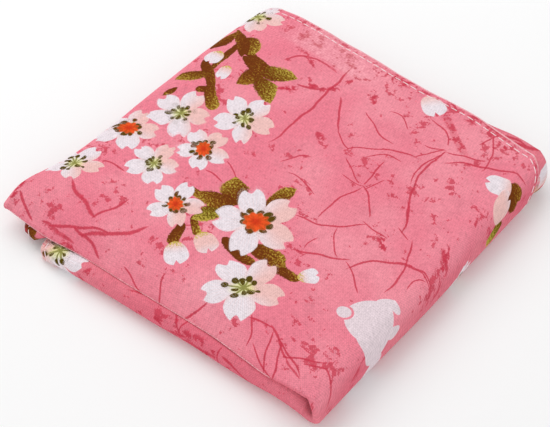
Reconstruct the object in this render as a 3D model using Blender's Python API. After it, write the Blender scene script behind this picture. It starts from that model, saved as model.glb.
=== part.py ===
"""A square cotton wrapping cloth folded into a flat packet.

The cloth is folded in half and in half again across its width, which makes a strip, and then in half
and in half again along its length. The strip's cross-section is a hairpin of two leaves, open on the
+Y side, and each leaf is two plies of cotton pressed together. That section is carried along the
strip's path: a bottom leg, an outer turn at +X, a top leg, a turn at -X, a third leg, an inner turn
at +X and a fourth leg between the others.
"""
import math
from collections import namedtuple

import bpy
import numpy as np

LEAF = 0.0012            # two plies pressed together
LEAF_GAP = 0.0005        # between the two leaves of the strip
LEG_GAP = 0.0006         # between two legs of the folded strip
LEG_PITCH = 2 * LEAF + LEAF_GAP + LEG_GAP
LEAF_OFFSET = (LEAF + LEAF_GAP) / 2     # from the middle of the strip to the middle of a leaf

BOTTOM_LEVEL = LEAF / 2 + LEAF_OFFSET   # middle of the bottom leg above the table
INNER_LEVEL = BOTTOM_LEVEL + LEG_PITCH
THIRD_LEVEL = INNER_LEVEL + LEG_PITCH
TOP_LEVEL = THIRD_LEVEL + LEG_PITCH

DROOP_START = -0.046     # the legs bend down from here to their folds on the -Y side
LOOP_LENGTH = 0.0085     # length over which the open loop of a fold closes
LOOP_ROUNDNESS = 0.35    # how far an open loop reaches out, as a share of its extra height
HEM_PRESS_START = 0.048  # the packet thins from here to its hems on the +Y side
HEM_PRESS_END = 0.068
HEM_PRESS = 0.05         # share of the height lost at the hems
SWELL = 0.028            # soft ups and downs of the packet, as a share of the height
SWELL_X, SWELL_Y = 0.085, 0.070         # their lengths along X and Y
SWELL_PHASE = 0.6        # where they start along X, in radians

COTTON = (0.85, 0.25, 0.33, 1.0)

# Lines in plan, each a list of (y, x): where the strip turns and where its two free ends lie.
BOTTOM_END = ((-0.0672, -0.0405), (-0.0655, -0.0430), (-0.0620, -0.0445), (-0.0400, -0.0500),
              (0.0000, -0.0530), (0.0680, -0.0555))
INNER_END = ((-0.0652, -0.0500), (-0.0635, -0.0525), (-0.0590, -0.0535), (-0.0400, -0.0545),
             (0.0000, -0.0550), (0.0680, -0.0550))
OUTER_TURN = ((-0.062, 0.0558), (-0.046, 0.0562), (-0.027, 0.0568), (-0.005, 0.0574), (0.010, 0.0574),
              (0.025, 0.0577), (0.049, 0.0578), (0.068, 0.0572))
LEFT_TURN = ((-0.0640, -0.0588), (-0.0600, -0.0590), (-0.0510, -0.0590), (-0.0460, -0.0578),
             (-0.0365, -0.0560), (-0.0220, -0.0554), (0.0000, -0.0560), (0.0300, -0.0568),
             (0.0520, -0.0561), (0.0600, -0.0553), (0.0680, -0.0520))
INNER_TURN = ((-0.055, 0.0440), (-0.030, 0.0490), (0.000, 0.0510), (0.068, 0.0520))

# The stretches of the path in order: where each starts and ends (a level leg), or its line, level,
# radius, first and last angle and the side on which the first leaf runs (a turn).
Leg = namedtuple("Leg", "start end level side stations")
Turn = namedtuple("Turn", "line level radius first last side stations")
STRETCHES = (
    Leg(BOTTOM_END, OUTER_TURN, BOTTOM_LEVEL, -1, 13),
    Turn(OUTER_TURN, (BOTTOM_LEVEL + TOP_LEVEL) / 2, 1.5 * LEG_PITCH, -90, 90, 1, 8),
    Leg(OUTER_TURN, LEFT_TURN, TOP_LEVEL, 1, 16),
    Turn(LEFT_TURN, (TOP_LEVEL + THIRD_LEVEL) / 2, 0.5 * LEG_PITCH, 90, 270, 1, 5),
    Leg(LEFT_TURN, INNER_TURN, THIRD_LEVEL, -1, 8),
    Turn(INNER_TURN, (THIRD_LEVEL + INNER_LEVEL) / 2, 0.5 * LEG_PITCH, 90, -90, -1, 5),
    Leg(INNER_TURN, INNER_END, INNER_LEVEL, 1, 10),
)

# The section along the path. place: the stretch's number plus the share of it that is passed.
# fold: the closed edge on the -Y side. hem: the end of the first leaf. tuck: the end of the second.
# loop: how far the fold stands open. droop: how far the strip bends down at its fold.
# flare: how far the second leaf springs out beyond the end of the first.
Section = namedtuple("Section", "place fold hem tuck loop droop flare")
SECTIONS = (
    Section(0.00, -0.0668, 0.0640, 0.0655, 0.0003, 0.0000, 0.0000),
    Section(0.04, -0.0667, 0.0640, 0.0655, 0.0006, 0.0000, 0.0000),
    Section(0.12, -0.0660, 0.0645, 0.0660, 0.0030, 0.0000, 0.0000),
    Section(0.30, -0.0644, 0.0645, 0.0660, 0.0037, 0.0000, 0.0000),
    Section(0.46, -0.0632, 0.0640, 0.0655, 0.0037, 0.0000, 0.0000),
    Section(0.60, -0.0618, 0.0635, 0.0650, 0.0036, 0.0000, 0.0000),
    Section(0.76, -0.0607, 0.0630, 0.0650, 0.0030, 0.0000, 0.0000),
    Section(0.89, -0.0593, 0.0620, 0.0650, 0.0014, 0.0000, 0.0000),
    Section(0.96, -0.0589, 0.0590, 0.0640, 0.0003, 0.0000, 0.0000),
    Section(1.00, -0.0588, 0.0550, 0.0620, 0.0000, 0.0000, 0.0000),
    Section(1.30, -0.0595, 0.0460, 0.0530, 0.0000, 0.0000, 0.0014),
    Section(1.50, -0.0602, 0.0475, 0.0565, 0.0000, 0.0004, 0.0020),
    Section(1.75, -0.0600, 0.0545, 0.0610, 0.0000, 0.0008, 0.0008),
    Section(2.00, -0.0593, 0.0587, 0.0637, 0.0000, 0.0012, 0.0000),
    Section(2.05, -0.0597, 0.0595, 0.0643, 0.0000, 0.0020, 0.0000),
    Section(2.10, -0.0599, 0.0602, 0.0643, 0.0000, 0.0030, 0.0000),
    Section(2.19, -0.0589, 0.0618, 0.0632, 0.0000, 0.0035, 0.0000),
    Section(2.28, -0.0585, 0.0622, 0.0635, 0.0000, 0.0035, 0.0000),
    Section(2.47, -0.0598, 0.0622, 0.0637, 0.0000, 0.0035, 0.0000),
    Section(2.61, -0.0607, 0.0636, 0.0652, 0.0000, 0.0035, 0.0000),
    Section(2.76, -0.0612, 0.0648, 0.0663, 0.0000, 0.0035, 0.0000),
    Section(2.86, -0.0625, 0.0652, 0.0664, 0.0000, 0.0035, 0.0000),
    Section(2.94, -0.0628, 0.0651, 0.0660, 0.0000, 0.0036, 0.0000),
    Section(3.00, -0.0631, 0.0640, 0.0648, 0.0000, 0.0037, 0.0000),
    Section(3.50, -0.0632, 0.0635, 0.0645, 0.0000, 0.0026, 0.0000),
    Section(4.00, -0.0565, 0.0625, 0.0640, 0.0000, 0.0012, 0.0000),
    Section(4.30, -0.0538, 0.0650, 0.0665, 0.0000, 0.0008, 0.0000),
    Section(4.55, -0.0535, 0.0635, 0.0650, 0.0000, 0.0008, 0.0000),
    Section(4.75, -0.0530, 0.0630, 0.0648, 0.0000, 0.0006, 0.0000),
    Section(5.00, -0.0515, 0.0620, 0.0645, 0.0000, 0.0004, 0.0000),
    Section(6.00, -0.0500, 0.0610, 0.0640, 0.0000, 0.0000, 0.0000),
    Section(6.40, -0.0505, 0.0635, 0.0650, 0.0000, 0.0000, 0.0000),
    Section(6.80, -0.0505, 0.0650, 0.0660, 0.0000, 0.0000, 0.0000),
    Section(6.86, -0.0530, 0.0650, 0.0660, 0.0000, 0.0000, 0.0000),
    Section(6.88, -0.0590, 0.0650, 0.0660, 0.0000, 0.0002, 0.0000),
    Section(6.91, -0.0643, 0.0648, 0.0658, 0.0000, 0.0006, 0.0000),
    Section(7.00, -0.0650, 0.0640, 0.0650, 0.0000, 0.0014, 0.0000),
)

FLARE_LENGTH = 0.004     # length over which the second leaf springs out
LEAF_ROWS = 11           # rows of points across each leaf
FOLD_ROWS = 3            # rows of points round the closed edge, between the leaves


def curve(places, values, at):
    """A smooth curve through a table's points, read at the given places."""
    places, values = np.array(places, float), np.array(values, float)
    at = np.clip(at, places[0], places[-1])
    slopes = np.gradient(values, places)
    i = np.clip(np.searchsorted(places, at) - 1, 0, len(places) - 2)
    step = places[i + 1] - places[i]
    t = (at - places[i]) / step
    rise = t * t * (3 - 2 * t)
    bend = t * (1 - t) ** 2 * slopes[i] - t * t * (1 - t) * slopes[i + 1]
    return values[i] + (values[i + 1] - values[i]) * rise + bend * step


def line_x(line, y):
    """The x of a line in plan at the given y."""
    return curve([p[0] for p in line], [p[1] for p in line], y)


def section_at(place):
    """The section's sizes at a place on the path."""
    columns = np.array(SECTIONS).T
    return Section(place, *(curve(columns[0], column, place) for column in columns[1:]))


def smooth_step(t):
    t = np.clip(t, 0, 1)
    return t * t * (3 - 2 * t)


def hairpin(section):
    """The mid line of the two leaves: y, and the offset n from the strip's middle, first leaf positive."""
    reach = LEAF_OFFSET + LOOP_ROUNDNESS * section.loop
    centre = section.fold + LEAF / 2 + reach
    share = smooth_step(np.linspace(0, 1, LEAF_ROWS))
    first_y = section.hem + (centre - section.hem) * share
    second_y = centre + (section.tuck - centre) * share
    opening = section.loop * smooth_step(1 - (second_y - centre) / LOOP_LENGTH)
    flare = section.flare * smooth_step((second_y - section.hem) / FLARE_LENGTH)
    angles = np.linspace(math.pi / 2, -math.pi / 2, FOLD_ROWS + 2)[1:-1]
    fold_y = centre - reach * np.cos(angles)
    fold_n = -section.loop / 2 + (LEAF_OFFSET + section.loop / 2) * np.sin(angles)
    y = np.concatenate([first_y, fold_y, second_y])
    n = np.concatenate([np.full(LEAF_ROWS, LEAF_OFFSET), fold_n, flare - opening - LEAF_OFFSET])
    return y, n


def bend(stretch, share, y, n):
    """Where the section's points lie in x and z, a share of the way along one stretch of the path."""
    if isinstance(stretch, Leg):
        start, end = line_x(stretch.start, y), line_x(stretch.end, y)
        return start + (end - start) * share, stretch.level + stretch.side * n
    angle = math.radians(stretch.first + (stretch.last - stretch.first) * share)
    radius = stretch.radius + stretch.side * n
    return line_x(stretch.line, y) + radius * math.cos(angle), stretch.level + radius * math.sin(angle)


def settle(x, y, z, section):
    """The droop towards the folds, the thinner hems and the soft swell of a packet that lies on a table."""
    along = np.clip((DROOP_START - y) / (DROOP_START - section.fold), 0, 1)
    z = z - section.droop * along ** 2
    press = HEM_PRESS * smooth_step((y - HEM_PRESS_START) / (HEM_PRESS_END - HEM_PRESS_START))
    swell = SWELL * np.sin(2 * math.pi * x / SWELL_X + SWELL_PHASE) * np.cos(2 * math.pi * y / SWELL_Y)
    height = np.maximum(z - LEAF / 2, 0)
    return x, y, z + height * (swell - press)


def middle_grid():
    """The mid surface of the whole cloth: one column of points for each station of the path."""
    columns = []
    for number, stretch in enumerate(STRETCHES):
        shares = np.arange(stretch.stations) / stretch.stations
        if number == len(STRETCHES) - 1:
            shares = np.append(shares, 1.0)
        for share in shares:
            section = section_at(number + share)
            y, n = hairpin(section)
            x, z = bend(stretch, share, y, n)
            columns.append(np.stack(settle(x, y, z, section), axis=1))
    return np.stack(columns, axis=1)


def unit(vectors):
    return vectors / np.linalg.norm(vectors, axis=-1, keepdims=True)


def tangents(grid, axis):
    """The direction of the surface along one axis of the grid, halfway between the two edges at a point."""
    edges = unit(np.diff(grid, axis=axis))
    first, last = np.take(edges, [0], axis=axis), np.take(edges, [-1], axis=axis)
    return unit(np.concatenate([first, edges], axis=axis) + np.concatenate([edges, last], axis=axis))


def thicken(grid):
    """The two faces of the leaf, half its thickness off the mid surface, pressed flat on the table."""
    normals = unit(np.cross(tangents(grid, 0), tangents(grid, 1)))
    faces = [grid - normals * LEAF / 2, grid + normals * LEAF / 2]
    for face in faces:
        face[..., 2] = np.maximum(face[..., 2], 0)
    return faces


def closed_shell(faces):
    """Points and quads of the closed sheet: its two faces and the rim between them."""
    rows, columns = faces[0].shape[:2]
    number = np.arange(2 * rows * columns).reshape(2, rows, columns)
    quads = []
    for side in (0, 1):
        sheet = number[side]
        corners = [sheet[:-1, :-1], sheet[1:, :-1], sheet[1:, 1:], sheet[:-1, 1:]]
        quads.append(np.stack(corners if side else corners[::-1], axis=-1).reshape(-1, 4))
    rim = [number[:, 0, ::-1], number[:, -1, :], number[:, :, 0], number[:, ::-1, -1]]
    for edge in rim:
        corners = [edge[0, :-1], edge[0, 1:], edge[1, 1:], edge[1, :-1]]
        quads.append(np.stack(corners, axis=-1))
    points = np.concatenate([face.reshape(-1, 3) for face in faces])
    return points, np.concatenate(quads)


def centred(points):
    """The packet moved so that the middle of its underside's box is the origin."""
    low, high = points.min(axis=0), points.max(axis=0)
    middle = (low + high) / 2
    print("middle of the packet in plan, mm:", np.round(middle[:2] * 1000, 2))
    print("size, mm:", np.round((high - low) * 1000, 2))
    return points - np.array([middle[0], middle[1], low[2]])


def cotton():
    material = bpy.data.materials.new("printed_cotton")
    material.use_nodes = True
    shader = material.node_tree.nodes["Principled BSDF"]
    shader.inputs["Base Color"].default_value = COTTON
    shader.inputs["Roughness"].default_value = 0.9
    shader.inputs["Metallic"].default_value = 0.0
    return material


def build_cloth():
    points, quads = closed_shell(thicken(middle_grid()))
    mesh = bpy.data.meshes.new("furoshiki_cloth")
    mesh.from_pydata(centred(points).tolist(), [], quads.tolist())
    mesh.shade_smooth()
    mesh.materials.append(cotton())
    cloth = bpy.data.objects.new("furoshiki_cloth", mesh)
    bpy.context.scene.collection.objects.link(cloth)
    return cloth


for old in list(bpy.data.objects):
    bpy.data.objects.remove(old)
cloth = build_cloth()
print(len(cloth.data.polygons), "quads")
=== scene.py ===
# %% [markdown]
# # A folded furoshiki
# A furoshiki is a square wrapping cloth of thin printed cotton. This one is folded in half and in half
# again across its width, and then in half and in half again along its length, so sixteen plies lie on
# each other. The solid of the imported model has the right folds, but it is made of thick leaves of two
# plies each. Here one thin sheet follows the same folds ply by ply, with its hems, its stitches and its
# print.

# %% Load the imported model
import math
from collections import namedtuple

import bpy
import numpy as np
from mathutils import Matrix, Vector


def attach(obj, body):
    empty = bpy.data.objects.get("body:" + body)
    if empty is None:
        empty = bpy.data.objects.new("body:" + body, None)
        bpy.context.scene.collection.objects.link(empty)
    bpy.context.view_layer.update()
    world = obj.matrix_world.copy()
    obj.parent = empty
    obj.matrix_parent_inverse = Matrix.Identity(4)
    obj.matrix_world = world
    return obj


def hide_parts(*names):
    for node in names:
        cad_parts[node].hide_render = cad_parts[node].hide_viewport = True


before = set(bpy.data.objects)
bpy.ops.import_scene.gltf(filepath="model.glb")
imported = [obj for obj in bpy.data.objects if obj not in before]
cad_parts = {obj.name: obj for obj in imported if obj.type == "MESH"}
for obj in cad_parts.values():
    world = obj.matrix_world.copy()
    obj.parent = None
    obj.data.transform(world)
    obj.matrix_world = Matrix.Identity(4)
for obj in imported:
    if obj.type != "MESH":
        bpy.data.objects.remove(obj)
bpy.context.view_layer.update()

# %% [markdown]
# ## Sizes of the folded packet
# These are the sizes of the solid, so the sheet lies just where the solid is: the thickness of a leaf,
# the gaps between leaves, and the levels of the four legs of the folded strip above the table.

# %% Sizes
LEAF = 0.0012            # two plies pressed together
LEAF_GAP = 0.0005        # between the two leaves of the strip
LEG_GAP = 0.0006         # between two legs of the folded strip
LEG_PITCH = 2 * LEAF + LEAF_GAP + LEG_GAP
LEAF_OFFSET = (LEAF + LEAF_GAP) / 2     # from the middle of the strip to the middle of a leaf
BOTTOM_LEVEL = LEAF / 2 + LEAF_OFFSET   # middle of the bottom leg above the table
INNER_LEVEL = BOTTOM_LEVEL + LEG_PITCH
THIRD_LEVEL = INNER_LEVEL + LEG_PITCH
TOP_LEVEL = THIRD_LEVEL + LEG_PITCH
PLAN_MIDDLE = (0.00125, -0.00018)       # middle of the packet in the plan of the tables below

PLY = 0.00026            # one ply of cotton
PLY_OFFSET = 0.00033     # from the middle of a leaf to the middle of each of its plies
HEM_OFFSET = 0.00050     # the same at the hems, which are thicker
HEM_EXTRA = 0.00032      # how much thicker the turned hem is, on the reverse
HEM_WIDTH = 0.0042       # from the edge to the inner fold of the hem
STITCH_LINE = 0.0024     # from the edge to the stitches
print("four legs", round(1000 * LEG_PITCH, 1), "mm apart, top leg", round(1000 * TOP_LEVEL, 1), "mm above the table")

# %% [markdown]
# ## The path of the strip
# Seen from the side, the strip runs as a bottom leg, an outer turn, a top leg, a turn on the other side,
# a third leg, an inner turn and a fourth leg in the middle. Real folds are never quite straight, so each
# turn and each free end is a line in plan with a few points, read through a smooth curve.

# %% Lines in plan and stretches of the path
BOTTOM_END = ((-0.0672, -0.0405), (-0.0655, -0.0430), (-0.0620, -0.0445), (-0.0400, -0.0500),
              (0.0000, -0.0530), (0.0680, -0.0555))
INNER_END = ((-0.0652, -0.0500), (-0.0635, -0.0525), (-0.0590, -0.0535), (-0.0400, -0.0545),
             (0.0000, -0.0550), (0.0680, -0.0550))
OUTER_TURN = ((-0.062, 0.0558), (-0.046, 0.0562), (-0.027, 0.0568), (-0.005, 0.0574), (0.010, 0.0574),
              (0.025, 0.0577), (0.049, 0.0578), (0.068, 0.0572))
LEFT_TURN = ((-0.0640, -0.0592), (-0.0600, -0.0597), (-0.0510, -0.0591), (-0.0460, -0.0578),
             (-0.0365, -0.0560), (-0.0220, -0.0554), (0.0000, -0.0560), (0.0300, -0.0568),
             (0.0520, -0.0561), (0.0600, -0.0553), (0.0680, -0.0520))
INNER_TURN = ((-0.055, 0.0440), (-0.030, 0.0490), (0.000, 0.0510), (0.068, 0.0520))

Leg = namedtuple("Leg", "start end level side stations")
Turn = namedtuple("Turn", "line level radius first last side stations")
STRETCHES = (
    Leg(BOTTOM_END, OUTER_TURN, BOTTOM_LEVEL, -1, 44),
    Turn(OUTER_TURN, (BOTTOM_LEVEL + TOP_LEVEL) / 2, 1.5 * LEG_PITCH, -90, 90, 1, 18),
    Leg(OUTER_TURN, LEFT_TURN, TOP_LEVEL, 1, 76),
    Turn(LEFT_TURN, (TOP_LEVEL + THIRD_LEVEL) / 2, 0.5 * LEG_PITCH, 90, 270, 1, 10),
    Leg(LEFT_TURN, INNER_TURN, THIRD_LEVEL, -1, 20),
    Turn(INNER_TURN, (THIRD_LEVEL + INNER_LEVEL) / 2, 0.5 * LEG_PITCH, 90, -90, -1, 7),
    Leg(INNER_TURN, INNER_END, INNER_LEVEL, 1, 24),
)
TOP_LEG = 2
print(len(STRETCHES), "stretches from one free end of the strip to the other")

# %% [markdown]
# ## The section across the strip
# Across, the strip is a hairpin: a first leaf, a fold on the -Y side and a second leaf under it. Where the
# fold lies, how far it stands open, how far it droops and where the leaves end all change along the path.
# A table with named columns keeps these sizes readable, and a smooth curve reads between its rows. Where a
# row stops early, its last sizes are 0.

# %% Table of sections
Section = namedtuple("Section", "place fold hem tuck loop droop flare", defaults=(0.0, 0.0, 0.0))
SECTIONS = (
    Section(0.00, -0.0668, 0.0640, 0.0655, 0.0008),
    Section(0.04, -0.0667, 0.0640, 0.0655, 0.0020),
    Section(0.12, -0.0660, 0.0645, 0.0660, 0.0033),
    Section(0.30, -0.0644, 0.0645, 0.0660, 0.0041),
    Section(0.46, -0.0632, 0.0640, 0.0655, 0.0042),
    Section(0.60, -0.0618, 0.0635, 0.0650, 0.0042),
    Section(0.76, -0.0609, 0.0630, 0.0650, 0.0042),
    Section(0.83, -0.0604, 0.0626, 0.0650, 0.0046),
    Section(0.89, -0.0598, 0.0620, 0.0650, 0.0055),
    Section(0.96, -0.0594, 0.0590, 0.0640, 0.0055),
    Section(1.00, -0.0592, 0.0550, 0.0620, 0.0036),
    Section(1.30, -0.0595, 0.0460, 0.0530, 0.0000, 0.0000, 0.0014),
    Section(1.50, -0.0600, 0.0475, 0.0565, 0.0000, 0.0003, 0.0020),
    Section(1.75, -0.0593, 0.0545, 0.0610, 0.0000, 0.0004, 0.0008),
    Section(2.00, -0.0580, 0.0587, 0.0637, 0.0000, 0.0009),
    Section(2.05, -0.0583, 0.0595, 0.0643, 0.0000, 0.0014),
    Section(2.10, -0.0586, 0.0602, 0.0643, 0.0000, 0.0027),
    Section(2.19, -0.0580, 0.0618, 0.0632, 0.0000, 0.0038),
    Section(2.28, -0.0577, 0.0622, 0.0635, 0.0000, 0.0040),
    Section(2.47, -0.0591, 0.0622, 0.0637, 0.0000, 0.0041),
    Section(2.61, -0.0602, 0.0636, 0.0652, 0.0000, 0.0042),
    Section(2.76, -0.0611, 0.0648, 0.0663, 0.0000, 0.0050),
    Section(2.86, -0.0624, 0.0652, 0.0664, 0.0000, 0.0056),
    Section(2.94, -0.0628, 0.0651, 0.0660, 0.0000, 0.0050),
    Section(3.00, -0.0631, 0.0640, 0.0648, 0.0000, 0.0042),
    Section(3.50, -0.0632, 0.0635, 0.0645, 0.0000, 0.0026),
    Section(4.00, -0.0565, 0.0625, 0.0640, 0.0000, 0.0012),
    Section(4.30, -0.0538, 0.0650, 0.0665, 0.0000, 0.0008),
    Section(4.55, -0.0535, 0.0635, 0.0650, 0.0000, 0.0008),
    Section(4.75, -0.0530, 0.0630, 0.0648, 0.0000, 0.0006),
    Section(5.00, -0.0515, 0.0620, 0.0645, 0.0000, 0.0004),
    Section(6.00, -0.0500, 0.0610, 0.0640),
    Section(6.40, -0.0505, 0.0635, 0.0650),
    Section(6.80, -0.0505, 0.0650, 0.0660),
    Section(6.875, -0.0530, 0.0650, 0.0660),
    Section(6.895, -0.0590, 0.0650, 0.0660, 0.0000, 0.0002),
    Section(6.925, -0.0632, 0.0648, 0.0658, 0.0000, 0.0006),
    Section(7.00, -0.0638, 0.0640, 0.0650, 0.0000, 0.0014),
)


def curve(places, values, at):
    """A smooth curve through a table's points, read at the given places."""
    places, values = np.array(places, float), np.array(values, float)
    at = np.clip(at, places[0], places[-1])
    slopes = np.gradient(values, places)
    i = np.clip(np.searchsorted(places, at) - 1, 0, len(places) - 2)
    step = places[i + 1] - places[i]
    t = (at - places[i]) / step
    rise = t * t * (3 - 2 * t)
    bend = t * (1 - t) ** 2 * slopes[i] - t * t * (1 - t) * slopes[i + 1]
    return values[i] + (values[i + 1] - values[i]) * rise + bend * step


def line_x(line, y):
    return curve([p[0] for p in line], [p[1] for p in line], y)


def section_at(place):
    columns = np.array(SECTIONS).T
    return Section(place, *(curve(columns[0], column, place) for column in columns[1:]))


def smooth_step(t):
    t = np.clip(t, 0, 1)
    return t * t * (3 - 2 * t)


print("sections at", len(SECTIONS), "places, upper leaf over the roll in front droops by up to",
      round(1000 * max(section.droop for section in SECTIONS), 1), "mm")

# %% [markdown]
# ## One leaf is two plies
# The middle line of the two leaves comes first, and each ply runs a third of a millimetre to one side of
# it. The outer ply goes from the first hem round the fold to the far end, turns back there in a tiny fold,
# and returns as the inner ply to the second hem. That is one unbroken line across the whole cloth, which
# is what makes this a sheet and not a stack. Near a hem the rows of points lie closer together.

# %% The line across the cloth
LOOP_LENGTH = 0.0120     # length over which the open loop of a fold closes, at most
LOOP_END = -0.0485       # it is closed here, where the folds of the inner legs begin
LOOP_ROUNDNESS = 0.35    # how far an open loop reaches out, as a share of its extra height
FLARE_LENGTH = 0.004     # length over which the second leaf springs out
HALF_WIDTH = 0.125       # nominal width of a leaf, used to space the rows
CROWDING = 1.3           # above 1, rows crowd towards a fold
HEM_ROWS = (0.0, 0.00008, 0.0002, 0.0004, 0.0008, 0.0014, 0.0020, 0.0024, 0.0028, 0.0034, 0.0040, 0.0044, 0.0050)
HEM_SPREAD = 0.003       # length over which the plies close up again inside a hem
INNER_HEM_SHIFT = 0.0009                # the inner ply's hem lies this far beyond the outer one
PINCH = ((1.40, 0.0), (1.90, 0.10), (2.05, 0.30), (2.14, 0.48), (2.94, 0.48), (3.15, 0.35), (3.60, 0.0))
PINCH_LENGTH = 0.010     # length over which a fold is pressed flat
INNER_FOLD_SHIFT = 0.0004               # the inner ply is folded this much further in than the outer one


def leaf_shares(rows, hem_rows=()):
    """Shares of a leaf's width. Rows lie closer together at its hem and towards its fold."""
    near = np.array(hem_rows) / HALF_WIDTH
    start = near[-1] if len(near) else 0.0
    shares = 1 - (1 - np.linspace(0, 1, rows)) ** CROWDING
    return np.concatenate([near[:-1], start + (1 - start) * shares])


def mid_line(section, first, around, second):
    """The middle line of the two leaves and its outward direction, as y and n (off the strip's middle)."""
    reach = LEAF_OFFSET + LOOP_ROUNDNESS * section.loop
    centre = section.fold + LEAF / 2 + reach
    first_y = section.hem + (centre - section.hem) * first
    second_y = centre + (section.tuck - centre) * second
    opening = section.loop * smooth_step(1 - (second_y - centre) / min(LOOP_LENGTH, LOOP_END - centre))
    flare = section.flare * smooth_step((second_y - section.hem) / FLARE_LENGTH)
    angles = np.linspace(math.pi / 2, -math.pi / 2, around + 2)[1:-1]
    fold_y = centre - reach * np.cos(angles)
    fold_n = -section.loop / 2 + (LEAF_OFFSET + section.loop / 2) * np.sin(angles)
    y = np.concatenate([first_y, fold_y, second_y])
    n = np.concatenate([np.full(len(first), LEAF_OFFSET), fold_n, flare - opening - LEAF_OFFSET])
    along = np.stack([np.gradient(y), np.gradient(n)])
    along /= np.linalg.norm(along, axis=0)
    return np.stack([y, n]), np.stack([along[1], -along[0]])


OUTER_FIRST, OUTER_SECOND = leaf_shares(58, HEM_ROWS), 1 - leaf_shares(32)[::-1]
INNER_FIRST, INNER_SECOND = leaf_shares(26, HEM_ROWS), 1 - leaf_shares(24)[::-1]
OUTER_FOLD_ROWS, INNER_FOLD_ROWS = 11, 9
EDGE_FOLD = np.radians((30, 60, 90, 120, 150))[:, None]


def cloth_line(section, hem_share):
    """The whole line across the cloth at one station, from its first hem to its second."""
    rows, out = mid_line(section, OUTER_FIRST, OUTER_FOLD_ROWS, OUTER_SECOND)
    offset = PLY_OFFSET + (HEM_OFFSET - PLY_OFFSET) * np.maximum(hem_share, near_hem(OUTER_FIRST, rows.shape[1]))
    outer = rows + out * offset
    tip, side = rows[:, -1], out[:, -1]
    ahead = np.array([-side[1], side[0]])
    turn = tip + offset[-1] * (np.cos(EDGE_FOLD) * side + np.sin(EDGE_FOLD) * ahead)
    shifted = section._replace(hem=section.hem + INNER_HEM_SHIFT, fold=section.fold + INNER_FOLD_SHIFT)
    rows, out = mid_line(shifted, INNER_FIRST, INNER_FOLD_ROWS, INNER_SECOND)
    offset = PLY_OFFSET + (HEM_OFFSET - PLY_OFFSET) * np.maximum(hem_share, near_hem(INNER_FIRST, rows.shape[1]))
    inner = (rows - out * offset)[:, ::-1]
    return np.concatenate([outer.T, turn, inner.T])


def pinched(place, y, n, fold):
    """The top fold is creased: its upper leaf is pressed down on the lower one, by a share of the height."""
    share = curve([p[0] for p in PINCH], [p[1] for p in PINCH], place) * smooth_step(1 - (y - fold) / PINCH_LENGTH)
    base = -LEAF_OFFSET - LEAF / 2
    return base + (n - base) * (1 - share)


def near_hem(shares, rows):
    """1 on the hem's rows and 0 elsewhere, with a soft step."""
    padded = np.ones(rows)
    padded[:len(shares)] = shares
    return 1 - smooth_step((padded * HALF_WIDTH - HEM_WIDTH) / HEM_SPREAD)


# %% [markdown]
# ## From the line to the surface
# Each station carries the line across along the path: straight on a leg, round a centre on a turn. The
# whole packet then settles: its folds droop, its hems are pressed thinner and its top is a little uneven.

# %% The surface of the folded cloth
DROOP_START = -0.046     # the legs bend down from here to their folds on the -Y side
HEM_PRESS_START, HEM_PRESS_END = 0.048, 0.068
HEM_PRESS = 0.05         # share of the height lost at the hems
SWELL = 0.028            # soft ups and downs, as a share of the height
SWELL_X, SWELL_Y = 0.085, 0.070         # their lengths along X and Y
SWELL_PHASE = 0.6
RIDGE_X, RIDGE_LENGTH = -0.024, 0.024   # a soft ridge runs along the hem: its middle and half its length
RIDGE_START, RIDGE_TOP, RIDGE_END = 0.0435, 0.0480, 0.0640      # it rises steeply and falls slowly to the hem
RIDGE = 0.085
REST = LEAF / 2 - PLY_OFFSET - PLY / 2  # the lowest ply comes down to the table by this much
Ripple = namedtuple("Ripple", "height x y phase")
RIPPLES = (Ripple(0.010, 0.034, 0.052, 1.1), Ripple(0.007, 0.021, -0.029, 0.4), Ripple(0.005, -0.013, 0.041, 2.0),
           Ripple(0.004, 0.047, 0.012, 0.9))


def bend(stretch, share, y, n):
    if isinstance(stretch, Leg):
        start, end = line_x(stretch.start, y), line_x(stretch.end, y)
        return start + (end - start) * share, stretch.level + stretch.side * n
    angle = math.radians(stretch.first + (stretch.last - stretch.first) * share)
    radius = stretch.radius + stretch.side * n
    return line_x(stretch.line, y) + radius * math.cos(angle), stretch.level + radius * math.sin(angle)


def ridge(x, y):
    rise = smooth_step((y - RIDGE_START) / (RIDGE_TOP - RIDGE_START))
    fall = 1 - smooth_step((y - RIDGE_TOP) / (RIDGE_END - RIDGE_TOP))
    return rise * fall * np.exp(-((x - RIDGE_X) / RIDGE_LENGTH) ** 4)


def settle(x, y, z, section):
    along = np.clip((DROOP_START - y) / (DROOP_START - section.fold), 0, 1)
    z = z - section.droop * along ** 2
    press = HEM_PRESS * smooth_step((y - HEM_PRESS_START) / (HEM_PRESS_END - HEM_PRESS_START))
    swell = SWELL * np.sin(2 * math.pi * x / SWELL_X + SWELL_PHASE) * np.cos(2 * math.pi * y / SWELL_Y)
    for ripple in RIPPLES:
        swell = swell + ripple.height * np.sin(2 * math.pi * (x / ripple.x + y / ripple.y) + ripple.phase)
    swell = swell + RIDGE * ridge(x, y)
    height = np.maximum(z - LEAF / 2, 0)
    return x - PLAN_MIDDLE[0], y - PLAN_MIDDLE[1], z + height * (swell - press) - REST


LEG_LENGTH = 0.110       # nominal length of a leg, used to space the stations


def stations():
    """Every station of the path as (stretch number, share), closer together at the two free ends."""
    places = []
    near = np.array(HEM_ROWS) / LEG_LENGTH
    for number, stretch in enumerate(STRETCHES):
        shares = np.arange(stretch.stations) / stretch.stations
        if number == 0:
            shares = np.concatenate([near[:-1], np.linspace(near[-1], 1, stretch.stations)[:-1]])
        if number == len(STRETCHES) - 1:
            shares = np.concatenate([np.linspace(0, 1 - near[-1], stretch.stations), 1 - near[-2::-1]])
        places += [(number, share) for share in shares]
    return places


PLACES = stations()


def free_end_distance(number, share):
    """How far a station is from the nearer free end of the strip, in metres."""
    return LEG_LENGTH * min(number + share, len(STRETCHES) - number - share)


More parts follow.
